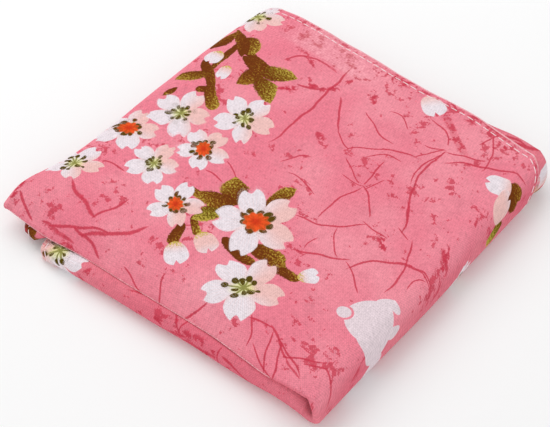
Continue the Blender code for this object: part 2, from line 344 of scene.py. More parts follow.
def cloth_grid():
    columns = []
    for number, share in PLACES:
        section = section_at(number + share)
        hem_share = 1 - smooth_step((free_end_distance(number, share) - HEM_WIDTH) / HEM_SPREAD)
        y, n = cloth_line(section, hem_share).T
        x, z = bend(STRETCHES[number], share, y, pinched(number + share, y, n, section.fold))
        columns.append(np.stack(settle(x, y, z, section), axis=1))
    return np.stack(columns, axis=1)


grid = cloth_grid()
ROWS, COLUMNS = grid.shape[:2]
print("grid of", ROWS, "rows and", COLUMNS, "stations")

# %% [markdown]
# ## Flat coordinates
# A print is laid on the flat cloth before it is folded, so the surface needs flat coordinates in metres:
# `across`, the distance from the first hem, and `along`, the distance along the strip from the middle of
# the top panel. Both are summed up over the real surface, so the print is never stretched where it shows.

# %% Measure the cloth along and across
def lengths(points, axis):
    """Distances summed up along one axis of the grid, starting at 0."""
    steps = np.linalg.norm(np.diff(points, axis=axis), axis=-1)
    start = np.zeros_like(np.take(steps, [0], axis=axis))
    return np.concatenate([start, np.cumsum(steps, axis=axis)], axis=axis)


across = lengths(grid, 0)
along = lengths(grid, 1)
middle_column = PLACES.index(next(p for p in PLACES if p[0] == TOP_LEG and p[1] >= 0.5))
along = along[:, [middle_column]] - along        # + towards the outer turn, as X is

# %% [markdown]
# ## Thickness and hems
# The sheet is closed: the printed face, the reverse and a rim. Its edges are turned twice and sewn, so
# the last four millimetres are thicker on the reverse, round at the very edge and pulled in a little
# along the stitches.

# %% The two faces of the sheet
HEM_STEP = 0.0005        # length over which the hem's thickness falls off
HEM_ROUND = 0.00035      # radius of its edge
EDGE_SHARE = 0.02        # square of the share of the thickness that is left at the very edge
GROOVE = 0.00007         # how deep the stitches pull the cloth in
GROOVE_WIDTH = 0.0006


def unit(vectors):
    return vectors / np.linalg.norm(vectors, axis=-1, keepdims=True)


def tangents(points, axis):
    edges = unit(np.diff(points, axis=axis))
    first, last = np.take(edges, [0], axis=axis), np.take(edges, [-1], axis=axis)
    return unit(np.concatenate([first, edges], axis=axis) + np.concatenate([edges, last], axis=axis))


normals = unit(np.cross(tangents(grid, 1), tangents(grid, 0)))
width_left, length_left = lengths(grid[::-1], 0)[::-1], lengths(grid[:, ::-1], 1)[:, ::-1]
edge = np.minimum(np.minimum(across, width_left), np.minimum(lengths(grid, 1), length_left))
hem = 1 - smooth_step((edge - HEM_WIDTH) / HEM_STEP)
groove = GROOVE * np.clip(1 - np.abs(edge - STITCH_LINE) / GROOVE_WIDTH, 0, 1)
roundness = np.sqrt(np.where(edge < HEM_ROUND, np.clip(1 - (1 - edge / HEM_ROUND) ** 2, EDGE_SHARE, 1), 1))
face_offset, back_offset = PLY / 2 - groove, -PLY / 2 - HEM_EXTRA * hem + groove
mid_offset = (face_offset + back_offset) / 2
face_offset = mid_offset + (face_offset - mid_offset) * roundness
back_offset = mid_offset + (back_offset - mid_offset) * roundness
face = grid + normals * face_offset[..., None]
back = grid + normals * back_offset[..., None]
for side in (face, back):
    side[..., 2] = np.maximum(side[..., 2], 0)
print("hem", round(1000 * (PLY + HEM_EXTRA), 2), "mm thick, cloth", round(1000 * PLY, 2), "mm")

# %% [markdown]
# ## One closed mesh
# The two faces and the rim are joined into quads. Every corner keeps its flat coordinates in a UV map
# named "cloth".

# %% Build the mesh
number = np.arange(2 * ROWS * COLUMNS).reshape(2, ROWS, COLUMNS)


def sheet_quads(sheet, flip):
    corners = [sheet[:-1, :-1], sheet[1:, :-1], sheet[1:, 1:], sheet[:-1, 1:]]
    return np.stack(corners[::-1] if flip else corners, axis=-1).reshape(-1, 4)


def rim_quads(edge_numbers):
    corners = [edge_numbers[0, :-1], edge_numbers[0, 1:], edge_numbers[1, 1:], edge_numbers[1, :-1]]
    return np.stack(corners, axis=-1)


face_quads, back_quads = sheet_quads(number[0], True), sheet_quads(number[1], False)
rims = [number[:, 0, ::-1], number[:, -1, :], number[:, :, 0], number[:, ::-1, -1]]
quads = np.concatenate([face_quads, back_quads, *(rim_quads(r) for r in rims)])
points = np.concatenate([face.reshape(-1, 3), back.reshape(-1, 3)])
mesh = bpy.data.meshes.new("furoshiki")
mesh.from_pydata(points.tolist(), [], quads.tolist())
mesh.shade_smooth()
flat = np.stack([np.tile(along.ravel(), 2), -np.tile(across.ravel(), 2)], axis=1)
corner_vertex = np.empty(len(mesh.loops), int)
mesh.loops.foreach_get("vertex_index", corner_vertex)
mesh.uv_layers.new(name="cloth").data.foreach_set("uv", flat[corner_vertex].astype(np.float32).ravel())


def add_object(name, data):
    thing = bpy.data.objects.new(name, data)
    bpy.context.scene.collection.objects.link(thing)
    return thing


furoshiki = add_object("furoshiki", mesh)
print(len(mesh.polygons), "quads,", 2 * len(mesh.polygons), "triangles")

# %% [markdown]
# ## Wear, painted highlight and painted shade
# Three numbers are stored on every point, for the materials to read: how far it is paler, by wear and by a
# painted highlight, how far it lies from an edge of the cloth, and how much painted shade it takes. Hems and
# the crease of the top fold are rubbed most, and a band along the soft ridge gets a little painted highlight.
# The sides of the packet and the layers below get a painted shade of deeper pink, while the top, facing up, gets none.

# %% Measure wear, painted highlight and painted shade
WEAR_WIDTH = 0.0004      # hem edges and creases are rubbed pale over this width
CREASE_WEAR = 0.62       # how far the top fold is rubbed pale
CREASE_START, CREASE_END = 2.1, 3.1     # and where along the path
RUBBED_BAND = 0.37       # how far the band along the ridge is painted lighter, as a painted highlight
BAND_RISE = 0.003        # length over which that band begins
FADED_SLOPE, DEEP_SLOPE = 0.92, 0.35    # upward part of the normal where the painted shade begins, and where it is deepest
FOLD_ROW = len(OUTER_FIRST) + OUTER_FOLD_ROWS // 2      # the row at the tip of the outer fold
FAR_INSIDE = 10.0        # the distance from an edge is stored in millimetres, and never as more than this

path = np.array([sum(place) for place in PLACES])
crease = np.exp(-((across - across[[FOLD_ROW]]) / WEAR_WIDTH) ** 2)
crease = CREASE_WEAR * crease * ((CREASE_START < path) & (path < CREASE_END))
on_top = (TOP_LEG < path) & (path < TOP_LEG + 1) & (grid[..., 2] > TOP_LEVEL)
# a painted highlight along the soft ridge, on the top panel only
band = smooth_step((grid[..., 1] - RIDGE_TOP) / BAND_RISE) * np.exp(-((grid[..., 0] - RIDGE_X) / RIDGE_LENGTH) ** 4)
# hem edges and the crease are rubbed pale by wear, and the ridge band adds its painted highlight
wear = np.maximum(np.exp(-(edge / WEAR_WIDTH) ** 2), np.maximum(crease, RUBBED_BAND * band * on_top))
# painted shade: deeper where the surface turns away from straight up, and full on the rows past the outer fold, which
# lie underneath
faded = smooth_step((normals[..., 2] - DEEP_SLOPE) / (FADED_SLOPE - DEEP_SLOPE))
unfaded = 1 - faded * (np.arange(ROWS) <= FOLD_ROW)[:, None]
for title, values in (("wear", wear), ("edge", np.minimum(1000 * edge, FAR_INSIDE)), ("unfaded", unfaded)):
    both_faces = np.tile(values.ravel(), 2).astype(np.float32)
    mesh.attributes.new(title, "FLOAT", "POINT").data.foreach_set("value", both_faces)
print("unfaded:", round(100 * float((unfaded == 1).mean())), "% of the points")

# %% [markdown]
# ## Stitches
# A lockstitch of white thread holds each hem, 2.4 mm inside its edge. Each stitch is a short length of
# thread that comes up through the cloth, lies on it and goes down again, so it is a small tube that is
# lowest at its ends. All of them are one mesh.

# %% Sew the hems
STITCH_PITCH, STITCH_LENGTH = 0.0033, 0.0029
THREAD_WIDTH, THREAD_HEIGHT = 0.00036, 0.00024
STITCH_ARCH, STITCH_SUNK = 0.00008, 0.4         # its arch, and the share of that below the cloth's surface
STITCH_SIDES, STITCH_RINGS = 6, 6
ring_share = (np.arange(STITCH_RINGS) + 0.5) / STITCH_RINGS
ring_size = np.sqrt(1 - (2 * ring_share - 1) ** 4)
ring_angle = np.arange(STITCH_SIDES) * 2 * math.pi / STITCH_SIDES


def sew(line, out):
    """Rings of points of every stitch along a line of surface points with their outward directions."""
    walked = lengths(line, 0)
    starts = np.arange(STITCH_LINE, walked[-1] - STITCH_LINE - STITCH_LENGTH, STITCH_PITCH)
    at = starts[:, None] + STITCH_LENGTH * ring_share
    middle, up = (np.stack([np.interp(at, walked, v[:, k]) for k in range(3)], axis=-1) for v in (line, out))
    ahead = unit(np.gradient(middle, axis=1))
    aside = unit(np.cross(up, ahead))
    middle = middle + up * (STITCH_ARCH * (ring_size - STITCH_SUNK))[:, None]
    spread = aside[:, :, None] * (THREAD_WIDTH / 2 * np.cos(ring_angle))[:, None]
    spread = spread + up[:, :, None] * (THREAD_HEIGHT / 2 * np.sin(ring_angle))[:, None]
    return middle[:, :, None] + spread * ring_size[:, None, None]


STITCH_ROW = HEM_ROWS.index(STITCH_LINE)
seams = [(face[row], normals[row]) for row in (STITCH_ROW, -1 - STITCH_ROW)]
seams += [(face[:, column], normals[:, column]) for column in (STITCH_ROW, -1 - STITCH_ROW)]
stitches = np.concatenate([sew(line, out) for line, out in seams])
stitches[..., 2] = np.maximum(stitches[..., 2], 0)
stitch_number = np.arange(stitches[..., 0].size).reshape(stitches.shape[:3])
around = np.roll(stitch_number, -1, axis=2)
walls = np.stack([stitch_number[:, :-1], stitch_number[:, 1:], around[:, 1:], around[:, :-1]], axis=-1)
caps = np.concatenate([stitch_number[:, 0], stitch_number[:, -1, ::-1]])
thread_mesh = bpy.data.meshes.new("hem_stitches")
thread_mesh.from_pydata(stitches.reshape(-1, 3).tolist(), [], walls.reshape(-1, 4).tolist() + caps.tolist())
thread_mesh.shade_smooth()
hem_stitches = add_object("hem_stitches", thread_mesh)
print(len(stitches), "stitches")

# %% [markdown]
# ## Small helpers for shader nodes
# A printed fabric needs many small sums in its node trees. A `Value` stands for the output of a node. Each
# sum with it adds one node to the same tree and hands back that node's output, so that a formula in a
# group below reads almost as it would on paper.

# %% Node helpers
class Value:
    """A number, vector or colour that changes over the surface."""

    def __init__(self, socket):
        self.socket, self.tree = socket, socket.id_data

    def __add__(self, other):
        return math_node(self.tree, "ADD", self, other)

    def __sub__(self, other):
        return math_node(self.tree, "SUBTRACT", self, other)

    def __rsub__(self, other):
        return math_node(self.tree, "SUBTRACT", other, self)

    def __mul__(self, other):
        return math_node(self.tree, "MULTIPLY", self, other)

    def __truediv__(self, other):
        return math_node(self.tree, "DIVIDE", self, other)

    def __pow__(self, other):
        return math_node(self.tree, "POWER", self, other)

    def __abs__(self):
        return math_node(self.tree, "ABSOLUTE", self)

    def at_least(self, other):
        return math_node(self.tree, "MAXIMUM", self, other)

    def scaled(self, factor, plus):
        return math_node(self.tree, "MULTIPLY_ADD", self, factor, plus)

    def through(self, operation, *others):
        """This value and any others through a math node of another kind."""
        return math_node(self.tree, operation, self, *others)


def put(value, socket):
    """Link a value to a socket, or write a plain number, vector or colour into it."""
    if isinstance(value, Value):
        socket.id_data.links.new(value.socket, socket)
    else:
        socket.default_value = value


def math_node(tree, operation, *values):
    node = tree.nodes.new("ShaderNodeMath")
    node.operation = operation
    for value, socket in zip(values, node.inputs):
        put(value, socket)
    return Value(node.outputs[0])


def fade(value, low, high):
    """0 up to low and 1 from high on, with a soft step between."""
    node = value.tree.nodes.new("ShaderNodeMapRange")
    node.interpolation_type = "SMOOTHSTEP"
    for name, given in (("Value", value), ("From Min", low), ("From Max", high)):
        put(given, node.inputs[name])
    return Value(node.outputs["Result"])


def blend_colors(factor, first, second):
    node = factor.tree.nodes.new("ShaderNodeMix")
    node.data_type = "RGBA"
    for index, value in ((0, factor), (6, first), (7, second)):
        put(value, node.inputs[index])
    return Value(node.outputs[2])


def noise(vector, scale, detail=2.0, roughness=0.5):
    node = vector.tree.nodes.new("ShaderNodeTexNoise")
    for name, value in (("Vector", vector), ("Scale", scale), ("Detail", detail), ("Roughness", roughness)):
        put(value, node.inputs[name])
    return Value(node.outputs["Fac"])


def chance(value):
    """A fixed random number between 0 and 1 for each number that is given."""
    node = value.tree.nodes.new("ShaderNodeTexWhiteNoise")
    node.noise_dimensions = "1D"
    put(value, node.inputs["W"])
    return Value(node.outputs["Value"])


def stretched(vector, x, y):
    node = vector.tree.nodes.new("ShaderNodeVectorMath")
    node.operation = "MULTIPLY"
    put(vector, node.inputs[0])
    put((x, y, 1), node.inputs[1])
    return Value(node.outputs[0])


def paint(red, green, blue):
    """A colour given as 0 to 255 on a screen, in the linear values that shaders use."""
    linear = [v / 12.92 if v <= 0.04045 else ((v + 0.055) / 1.055) ** 2.4 for v in (red / 255, green / 255, blue / 255)]
    return (*linear, 1.0)


def new_group(name, inputs, outputs):
    """A node group with named sockets: inputs are (name, kind, value), outputs are (name, kind)."""
    tree = bpy.data.node_groups.new(name, "ShaderNodeTree")
    for title, kind, value in inputs:
        socket = tree.interface.new_socket(name=title, in_out="INPUT", socket_type="NodeSocket" + kind)
        socket.default_value = value
    for title, kind in outputs:
        tree.interface.new_socket(name=title, in_out="OUTPUT", socket_type="NodeSocket" + kind)
    given = {socket.name: Value(socket) for socket in tree.nodes.new("NodeGroupInput").outputs}
    return tree, given, tree.nodes.new("NodeGroupOutput").inputs


def place_group(tree, group, **values):
    """One use of a group in a tree, with values for its inputs by their names. Its outputs are named too."""
    node = tree.nodes.new("ShaderNodeGroup")
    node.node_tree = group
    for name, value in values.items():
        put(value, node.inputs[name])
    return {socket.name: Value(socket) for socket in node.outputs}


# %% [markdown]
# ## How the print is laid on the cloth
# The print is drawn by formulas, so each blossom, leaf and line needs its own local coordinates. One copy
# of each formula for every blossom would make a huge and slow shader. Instead every face of the mesh is
# told which mark lies on it: its corners carry that mark's local coordinates and two more numbers, as a
# colour attribute. Then a single blossom formula paints all blossoms. Marks that overlap go on different
# layers. A small sway of the coordinates keeps the marks from looking as if drawn with compasses.

# %% Lay marks on faces
FACES = (ROWS - 1) * (COLUMNS - 1)
face_corners = flat[face_quads]                  # flat coordinates of the corners, per face of the print
face_middles = face_corners.mean(axis=1)
face_samples = np.concatenate([face_corners, face_middles[:, None]], axis=1)
NOWHERE = 9.0            # a local coordinate far outside every mark
FARTHEST = 2.4           # no mark reaches farther than this many of its own units
SEARCH = 0.004           # and faces are sought this far beyond that
MARGIN = 0.0010          # a mark claims faces this far beyond its own outline
Frame = namedtuple("Frame", "x y angle unit")
# Two waves to the side and two ahead: their lengths along x and y, where they start and how strong they are.
WAVES = (((0.031, 0.0170, 0.7, 1.0), (-0.019, 0.0083, 2.0, 0.6)),
         ((0.0150, -0.029, 1.9, 1.0), (0.0091, 0.023, 0.3, 0.6)))


def wander(at, sway):
    """Flat coordinates moved about a little, so that what is laid with them looks drawn by hand."""
    x, y = at[..., 0] * 2 * math.pi, at[..., 1] * 2 * math.pi
    moves = [sum(strength * np.sin(x / length_x + y / length_y + start) for length_x, length_y, start, strength in pair)
             for pair in WAVES]
    return at + sway * np.stack(moves, axis=-1)


def local(place, at):
    """Flat coordinates turned into those of a mark, in its own unit."""
    dx, dy = at[..., 0] - place.x, at[..., 1] - place.y
    c, s = math.cos(place.angle), math.sin(place.angle)
    return np.stack([dx * c + dy * s, dy * c - dx * s], axis=-1) / place.unit


def lay(name, marks, layers, sway):
    """Write marks, a list of (frame, footprint, third, fourth), into the given number of layers."""
    samples, corner_places = wander(face_samples, sway), wander(face_corners, sway)
    values = np.zeros((layers, FACES, 4, 4))
    values[..., :2] = NOWHERE
    nearest = np.full((layers, FACES), np.inf)
    for place, footprint, third, fourth in marks:
        away = face_middles - (place.x, place.y)
        close = np.nonzero(np.hypot(away[:, 0], away[:, 1]) < FARTHEST * place.unit + SEARCH)[0]
        distance = footprint(local(place, samples[close])).min(axis=1)
        claimed = distance < MARGIN / place.unit
        close, distance = close[claimed], distance[claimed]
        k = int(np.argmin([np.isfinite(nearest[k, close]).sum() for k in range(layers)]))
        better = distance < nearest[k, close]
        close = close[better]
        nearest[k, close] = distance[better]
        corners = local(place, corner_places[close])
        rest = np.broadcast_to((third, fourth), corners.shape)
        values[k, close] = np.concatenate([corners, rest], axis=-1)
    for k in range(layers):
        colors = np.zeros((len(mesh.loops), 4))
        colors[:, :2] = NOWHERE
        colors[:4 * FACES] = values[k].reshape(-1, 4)
        colors[4 * FACES:8 * FACES] = values[k][:, ::-1].reshape(-1, 4)
        attribute = mesh.color_attributes.new(f"{name}_{k}", "FLOAT_COLOR", "CORNER")
        attribute.data.foreach_set("color", colors.astype(np.float32).ravel())
    print(name, "marks:", len(marks), "on", layers, "layers")


# %% [markdown]
# ## The repeat
# A printed cloth repeats its drawing. The tables below hold one repeat, in millimetres on the flat cloth:
# x along the strip from the middle of the top panel, y across from its hem. Every other row of repeats is
# shifted sideways by half a repeat, as printers do, so that the eye doesn't find columns. A few marks that
# show at the sides of the packet are placed only once.

# %% The repeat
REPEAT_X, REPEAT_Y = 0.150, 0.126
SHIFTS = [(i * REPEAT_X + (j % 2) * REPEAT_X / 2, -j * REPEAT_Y) for i in range(-4, 4) for j in range(-1, 5)]
REACH = 0.015            # marks this far off the cloth still touch it
BARE = ((-0.2825, -0.1352), (0.1675, -0.1352))  # no blossom stands here, on the two free ends at the left corner
BARE_RADIUS = 0.004


def repeated(make_mark, rows, once=()):
    """The marks of a table at every repeat that touches the cloth, and those that are placed once."""
    marks = [make_mark(row, shift) for shift in SHIFTS for row in rows]
    marks += [make_mark(row, (0, 0)) for row in once]
    low, high = flat.min(axis=0) - REACH, flat.max(axis=0) + REACH
    return [mark for mark in marks if low[0] < mark[0].x < high[0] and low[1] < mark[0].y < high[1]]


# %% [markdown]
# ## Blossoms
# Cherry blossoms have five notched petals. Some here show green stamens and some an orange heart. The
# table gives each one's middle, its reach, how it is turned and whether its heart is orange.

# %% Table of blossoms
Blossom = namedtuple("Blossom", "x y reach turn orange seed")
BLOSSOM_RIM = 1.06       # petals end within this many times their reach
BLOSSOMS = (
    Blossom(-57.5, -9.2, 10.2, 14, 0, 0.12),
    Blossom(-44.6, -65.7, 10.9, 22, 0, 0.47),
    Blossom(-25.7, -53.3, 10.9, 14, 0, 0.33),
    Blossom(-35.3, -88.1, 9.4, 24, 0, 0.81),
    Blossom(-54.4, -103.2, 9.2, 12, 0, 0.25),
    Blossom(20.5, -104.0, 12.3, 18, 0, 0.59),
    Blossom(-52.8, -81.6, 10.4, 24, 1, 0.66),
    Blossom(-27.3, -72.8, 9.7, 10, 1, 0.91),
    Blossom(-17.6, -95.3, 9.3, 31, 1, 0.05),
    Blossom(6.1, -82.6, 13.8, -3, 1, 0.72),
)
BLOSSOMS_ONCE = (Blossom(73.0, -38.5, 5.2, 40, 0, 0.38), Blossom(166.2, -138.0, 11.8, 30, 0, 0.12))


def blossom_mark(row, shift):
    place = Frame(row.x / 1000 + shift[0], row.y / 1000 + shift[1], math.radians(row.turn), row.reach / 1000)
    return place, lambda p: np.hypot(p[..., 0], p[..., 1]) - BLOSSOM_RIM, row.orange, row.seed


# %% [markdown]
# ## Leaves, twigs and buds
# These are long marks, given by their two ends, a width, a bend and a tone. One formula serves them and the
# thin strands of the ground: a strip along a bent middle line, pointed or blunt. A loose petal is a bud
# without its green sepal, and its tone is below 0 to say so.

# %% Tables of leaves, twigs and buds
Mark = namedtuple("Mark", "x0 y0 x1 y1 width bend tone")
LEAVES = (
    Mark(-52.5, -22.5, -43.5, -28.0, 8.5, 0.1, 0.50), Mark(-37.5, -33.0, -24.0, -27.0, 8.0, 0.1, 0.60),
    Mark(-36.5, -29.0, -38.5, -43.5, 7.5, -0.1, 0.25), Mark(-36.5, -33.5, -23.5, -42.5, 8.5, 0.1, 0.6),
    Mark(-45.5, -31.5, -58.5, -18.5, 5.0, 0.1, 0.0), Mark(-57.8, -33.0, -57.6, -20.2, 5.5, 0.1, 0.1),
    Mark(-47.0, -30.5, -36.0, -34.0, 5.0, 0.1, -0.1),
    Mark(-49.8, -43.6, -57.0, -53.6, 5.8, 0.15, 0.5), Mark(-53.3, -57.0, -55.3, -63.0, 2.6, 0.1, 0.2),
    Mark(-3.6, -83.2, -11.2, -73.4, 9.8, 0.0, 0.5), Mark(-3.2, -82.3, -17.0, -88.4, 7.0, 0.12, 0.4),
    Mark(-5.6, -83.6, -9.2, -96.6, 5.8, -0.1, 0.8), Mark(4.0, -76.0, 7.6, -63.8, 5.4, 0.12, 0.5),
    Mark(11.0, -90.1, 25.0, -90.7, 7.0, -0.1, 0.4),
)
LEAVES_ONCE = (
    Mark(58.6, -17.6, 66.4, -10.4, 5.2, 0.0, 0.2), Mark(60.2, -18.4, 68.6, -12.6, 5.4, 0.0, 0.0),
    Mark(68.6, -20.4, 68.2, -28.4, 7.0, 0.0, 1.0), Mark(-282.8, -122.5, -280.8, -136.5, 7.4, 0.0, 0.0),
)
TWIGS = (
    Mark(-48.5, -27.0, -36.0, -31.0, 3.6, 0.1, -0.2), Mark(-56.0, -39.5, -43.0, -51.8, 4.0, 0.0, 0.0),
    Mark(-46.6, -48.6, -36.6, -58.2, 4.6, 0.05, 0.45), Mark(-43.5, -50.4, -47.8, -54.0, 3.2, 0.0, -0.1),
    Mark(-52.5, -24.0, -50.5, -43.0, 2.6, 0.1, -0.1),
    Mark(-19.0, -87.4, -13.4, -87.2, 3.0, 0.1, 0.3), Mark(-9.8, -94.6, -3.2, -98.5, 3.2, -0.1, 0.5),
    Mark(-10.6, -98.6, -6.7, -107.4, 3.8, 0.1, 0.0), Mark(2.0, -93.9, 16.9, -95.9, 4.0, -0.15, -0.1),
    Mark(22.0, -92.5, 30.4, -91.4, 3.8, 0.1, 0.1),
)
BUDS = (
    Mark(-53.9, -33.3, -54.0, -40.3, 6.0, 0, 0.05), Mark(-46.8, -37.8, -45.1, -45.4, 5.0, 0, 0.3),
    Mark(-3.8, -97.2, 4.0, -100.6, 7.4, 0, 0.8), Mark(-7.0, -105.6, 0.6, -110.4, 7.6, 0, 0.1),
    Mark(29.3, -91.1, 34.1, -86.0, 5.5, 0, 0.1),
)
LOOSE_PETALS = (
    Mark(61.0, -17.0, 51.3, -21.1, 7.8, 0, -0.1), Mark(62.5, -27.2, 61.6, -17.0, 8.6, 0, -0.9),
    Mark(14.5, -2.6, 23.0, -8.6, 8.0, 0, -0.1), Mark(69.0, -226.5, 63.0, -238.5, 8.5, 0, -0.1),
)


def mark_frame(row, shift):
    """The frame of a long mark: its middle, its direction and half its length."""
    dx, dy = row.x1 - row.x0, row.y1 - row.y0
    return Frame((row.x0 + row.x1) / 2000 + shift[0], (row.y0 + row.y1) / 2000 + shift[1], math.atan2(dy, dx),
                 math.hypot(dx, dy) / 2000)


def beside(ratio, bend_ratio):
    """How far a point is outside a long mark, in the mark's unit."""
    def distance(p):
        x, y = p[..., 0], p[..., 1]
        off = np.abs(y - bend_ratio * (1 - np.clip(x, -1, 1) ** 2)) - ratio
        return np.maximum(off, np.abs(x) - 1)
    return distance


def long_mark(row, shift):
    place = mark_frame(row, shift)
    ratio = row.width / 2000 / place.unit
    return place, beside(ratio, row.bend), ratio, row.bend


def toned_mark(row, shift):
    """A long mark that carries its tone in place of its bend."""
    place = mark_frame(row, shift)
    ratio = row.width / 2000 / place.unit
    return place, beside(ratio + abs(row.bend), 0), ratio, row.tone


# %% [markdown]
# ## Strands of the ground
# Between the flowers the pink ground is covered with fine darker strands, like fibres in handmade paper.
# They meet in loose sprigs. A few are broad and broken up, as smudges of the same colour.

# %% Table of strands
STRANDS = (
    (-13.9, -9.1, -12.2, -54.1, 0.83, 0.05), (-34.2, -23, -22.9, -15.5, 0.9, 0.25),
    (3.6, -21.9, 19.1, -28.5, 0.68, -0.15), (-3.8, -59, 2.8, -50.4, 0.6, 0.25),
    (22.6, -49.9, 11.2, -43.3, 0.6, 0.1), (22.6, -49.9, 21.3, -37.3, 0.68, -0.1),
    (22.6, -49.9, 14.8, -50, 0.52, 0.1), (23.7, -51, 26.5, -43.5, 0.52, -0.15),
    (22.6, -49.9, 31.5, -58.7, 0.83, 0.12), (22.7, -51, 19.5, -68.7, 0.68, -0.08),
    (13.9, -72.8, 32.5, -61.8, 0.68, -0.2), (31.6, -61.5, 40.1, -61, 0.6, -0.15),
    (16.4, -39.4, 25.9, -33.4, 0.6, 0.35), (22.2, -11.1, 34.4, -19.5, 0.68, 0.3),
    (34.4, -19.8, 28.5, -29, 0.6, -0.2), (34.9, -20.4, 33.7, -38.8, 0.68, -0.2),
    (34.9, -20.6, 43.4, -52.4, 0.75, -0.25), (35.1, -20.1, 46.2, -14.3, 0.75, -0.1),
    (37.3, -24.8, 62.5, -9.1, 0.75, 0.1), (41.5, -2.4, 47.8, -18.2, 0.68, 0.2),
    (51, -20, 66.6, -26.7, 0.75, 0.12), (41.6, -55.2, 46.6, -56.5, 0.6, 0.1),
    (38.7, -78.8, 61.4, -61.4, 0.83, 0.28), (47.7, -56.1, 52.5, -75.9, 0.75, 0.12),
    (21.7, -84.2, 36.9, -75.5, 0.75, -0.05), (26.8, -68.6, 33.8, -76.8, 0.6, -0.3),
    (36.7, -77, 46.1, -82.3, 0.68, 0.1), (55.9, -62.4, 61.8, -61.2, 0.52, -0.1),
    (56.3, -70.5, 59.5, -63, 0.6, 0.3), (29.4, -109.8, 35, -118.3, 0.6, 0.2),
    (38.3, -110, 43.9, -119.6, 0.68, -0.12), (40.7, -110.9, 53.4, -114.4, 0.68, 0.2),
    (43.8, -113, 55.6, -106.6, 0.75, -0.08), (52.7, -111, 66.4, -106.3, 0.75, 0.2),
    (36.3, -116.5, 47.3, -119.9, 0.6, -0.05), (0.6, -114.4, 7.8, -126, 0.75, -0.2),
    (8.9, -126.5, 16.2, -112.9, 0.9, -0.25), (-12.2, -121.8, -3.2, -123.6, 0.68, -0.05),
    (-48.7, -110.5, -31.2, -115.8, 1.75, -0.08), (-31.5, -116.4, -29.3, -104.4, 1.15, 0),
    (-31.9, -122.7, -16.8, -107.7, 1.8, -0.2), (-35.1, -122.4, -21.2, -124.4, 1.4, 0.05),
    (-58.3, -122, -48.8, -128.3, 1.2, -0.1), (-48.7, -98, -39.6, -97, 0.8, 0.05),
    (-20.7, -78.9, -13.1, -78, 0.75, 0), (-17.6, -71.3, -10.7, -74, 0.52, 0.1),
    (1.2, -61.1, 12.8, -62.7, 0.6, 0.2), (24.3, -81.3, 24.7, -75.5, 0.52, 0.2),
    (23.3, -5.6, 42.2, -17.9, 3.2, -0.05), (-12.3, -19.7, -4.1, -9.7, 2, 0.1),
    (-22.9, -29.1, -13.9, -23.3, 1.1, -0.2), (57.8, -33.4, 59.4, -39.2, 2, 0.1),
    (-18.9, -15.3, -16.1, -6.7, 1.8, 0.1), (-50.5, -3.5, -43.0, -8.5, 4.5, 0.1),
    (-41.0, -6.0, -28.5, -9.5, 5.0, -0.1), (-35.5, -16.5, -22.0, -19.5, 2.6, 0.2),
    (-26.0, -4.0, -14.5, -5.5, 5.0, 0.0), (-33.5, -3.0, -30.0, -7.5, 4.0, 0.2),
    (-22.5, -8.5, -12.0, -9.0, 4.0, 0.1), (-9.0, -4.0, 8.0, -3.2, 4.0, 0.05),
    (28.0, -3.0, 52.0, -4.0, 4.5, 0.05), (-14.5, -26.0, -10.0, -20.5, 3.5, 0.0),
    (-1.5, -14.5, 3.5, -17.5, 3.5, 0.1), (12.5, -18.0, 17.5, -14.5, 4.0, 0.0),
    (56.0, -49.0, 66.0, -57.0, 6.0, 0.0), (38.0, -61.0, 44.0, -66.5, 4.0, 0.0),
    (-3.5, -41.0, 3.0, -44.5, 4.0, 0.1), (-61.0, -112.0, -59.5, -124.0, 2.2, 0.1),
    (1.9, -35.8, 9.6, -38.9, 0.7, -0.15), (9.6, -38.9, 29.1, -28.6, 0.75, 0.12),
    (9.5, -16.7, 18.6, -19.5, 0.6, 0.25), (33.7, -19.8, 27.3, -22.4, 0.6, 0.1),
    (40.8, -9.5, 42.9, -1.5, 0.7, -0.1), (36.9, -45.1, 43.5, -55.6, 0.75, 0.15),
    (-45.2, -127.2, -32.3, -126.6, 1.6, 0.05), (-42.1, -127.3, -24.0, -117.5, 1.3, 0.1),
    (30.0, -110.7, 37.4, -109.1, 0.8, 0.1), (36.5, -108.5, 47.0, -112.0, 1.0, -0.1),
    (47.0, -112.0, 54.0, -114.6, 0.9, -0.2), (42.4, -110.7, 47.0, -119.6, 0.9, 0.1),
    (-0.5, -115.2, 3.0, -111.2, 0.8, -0.2), (-7.5, -23.3, 1.9, -35.8, 0.9, 0.05),
    (-24.4, -16.0, -15.9, -16.2, 1.1, 0.2), (-25.1, -35.4, -15.8, -24.5, 2.8, 0.1),
    (-30.0, -38.0, -21.5, -31.0, 1.6, -0.1),
)
STRANDS_ONCE = ((150.5, -137.5, 157.5, -131.0, 3.5, 0.1), (119.0, -133.5, 123.5, -128.5, 3.0, 0.0),
                (102.8, -131.0, 105.2, -124.5, 0.7, 0.15))
STRAND_REACH = 1.09      # their thin ends run on a little, so that they meet
STRAND_LAYERS = 4        # up to so many strands can cross


def strand_mark(row, shift):
    place, footprint, ratio, bend_ratio = long_mark(Mark(*row, 0), shift)
    return place._replace(unit=place.unit * STRAND_REACH), footprint, ratio / STRAND_REACH, bend_ratio


def is_bare(place):
    return any(math.dist((place.x, place.y), spot) <= BARE_RADIUS for spot in BARE)


blossoms = [mark for mark in repeated(blossom_mark, BLOSSOMS) if not is_bare(mark[0])]
blossoms += [blossom_mark(row, (0, 0)) for row in BLOSSOMS_ONCE]
lay("blossom", blossoms, layers=1, sway=0.00025)
lay("leaf", repeated(toned_mark, LEAVES, LEAVES_ONCE), layers=2, sway=0.00035)
lay("twig", repeated(toned_mark, TWIGS), layers=2, sway=0.00035)
lay("bud", repeated(toned_mark, BUDS, LOOSE_PETALS), layers=2, sway=0.00025)
lay("strand", repeated(strand_mark, STRANDS, STRANDS_ONCE), layers=STRAND_LAYERS, sway=0.00034)

